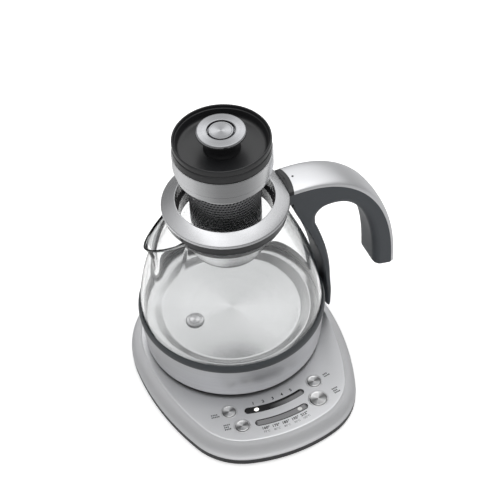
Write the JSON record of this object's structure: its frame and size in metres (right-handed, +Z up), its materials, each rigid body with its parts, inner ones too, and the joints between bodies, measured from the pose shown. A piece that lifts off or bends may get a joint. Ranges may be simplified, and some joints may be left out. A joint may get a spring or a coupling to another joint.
{
  "type": "automatic tea maker",
  "caption": "Glass jug with a steel skirt and arched handle on a powered base with panel buttons; its lidded steel tea basket is drawn up out of the jug.",
  "frame": {"origin": "on the worktop, on the axis of the jug", "axes": "+Z up along the jug's axis, -Y towards the control panel, +X towards the handle, -X towards the spout"},
  "size_m": [0.2258, 0.2118, 0.2416],
  "materials": {
    "steel_brushed": "brushed stainless steel",
    "steel_polished": "polished or spun stainless steel",
    "handle_plastic": "dark grey satin plastic",
    "black_plastic": "black moulded plastic",
    "black_gloss": "glossy black window plastic",
    "seal_rubber": "dark grey silicone",
    "foot_rubber": "black rubber",
    "clear_glass": "clear borosilicate glass",
    "contact_brass": "plated contact metal",
    "circuit_board": "green circuit board",
    "lamp_white": "lamp bodies",
    "aluminium": "cast aluminium",
    "element_steel": "oxidised heating tube",
    "lead_sleeve": "insulated leads",
    "relay_blue": "moulded relay case",
    "screw_steel": "zinc plated screws"
  },
  "bodies": {
    "base": {"base_cover": "steel_brushed", "base_tray": "black_plastic", "seat_dish": "black_plastic", "base_connector": "black_plastic", "base_contacts": "contact_brass", "rubber_feet": "foot_rubber", "base_screws": "screw_steel", "control_board": "circuit_board", "tact_switches": "black_plastic", "indicator_leds": "lamp_white", "light_shield": "black_plastic", "buzzer": "black_plastic", "power_board": "circuit_board", "power_relay": "relay_blue", "board_screws": "screw_steel", "time_window": "black_gloss", "heat_window": "black_gloss", "button_bezels": "steel_polished", "cord_gland": "black_plastic", "supply_leads": "lead_sleeve"},
    "left_inner_button": {"button_left_inner": "steel_polished"},
    "left_outer_button": {"button_left_outer": "steel_polished"},
    "right_inner_button": {"button_right_inner": "steel_polished"},
    "right_outer_button": {"start_button": "steel_polished"},
    "coupler": {"jug_connector": "black_plastic", "jug_contacts": "contact_brass"},
    "jug": {"jug_foot": "black_plastic", "jug_skirt": "steel_brushed", "jug_seal": "seal_rubber", "jug_glass": "clear_glass", "heater_plate": "steel_polished", "heat_spreader": "aluminium", "heating_element": "element_steel", "temperature_sensor": "steel_polished", "foot_screws": "screw_steel", "collar_body": "black_plastic", "collar_ring": "steel_brushed", "neck_gasket": "seal_rubber", "handle_core": "handle_plastic", "handle_cap": "steel_brushed", "handle_screws": "screw_steel", "handle_foot_screw": "screw_steel"},
    "basket": {"basket_band": "steel_brushed", "basket_body": "steel_polished", "basket_mesh": "element_steel", "basket_cup": "steel_polished"},
    "lid": {"lid_dish": "black_plastic", "lid_seal": "seal_rubber", "knob_post": "black_plastic", "knob_ring": "steel_brushed", "knob_disc": "steel_polished"}
  },
  "joints": [
    {"name": "left_inner_press", "type": "slide", "parent": "base", "child": "left_inner_button", "axis": [0, 0, -1], "range_m": [0, 0.0008], "stiffness_N_per_m": 900, "springref_m": -0.0004},
    {"name": "left_outer_press", "type": "slide", "parent": "base", "child": "left_outer_button", "axis": [0, 0, -1], "range_m": [0, 0.0008], "stiffness_N_per_m": 900, "springref_m": -0.0004},
    {"name": "right_inner_press", "type": "slide", "parent": "base", "child": "right_inner_button", "axis": [0, 0, -1], "range_m": [0, 0.0008], "stiffness_N_per_m": 900, "springref_m": -0.0004},
    {"name": "start_press", "type": "slide", "parent": "base", "child": "right_outer_button", "axis": [0, 0, -1], "range_m": [0, 0.0008], "stiffness_N_per_m": 900, "springref_m": -0.0004},
    {"name": "jug_lift", "type": "slide", "parent": "base", "child": "coupler", "axis": [0, 0, 1], "range_m": [0, 0.12]},
    {"name": "jug_turn", "type": "hinge", "parent": "coupler", "child": "jug", "pos_m": [0, 0, 0.03], "axis": [0, 0, 1], "continuous": true},
    {"name": "basket_slide", "type": "slide", "parent": "jug", "child": "basket", "axis": [0, 0, 1], "range_m": [-0.0474, 0.065]},
    {"name": "lid_lift", "type": "slide", "parent": "basket", "child": "lid", "axis": [0, 0, 1], "range_m": [0, 0.04]}
  ]
}
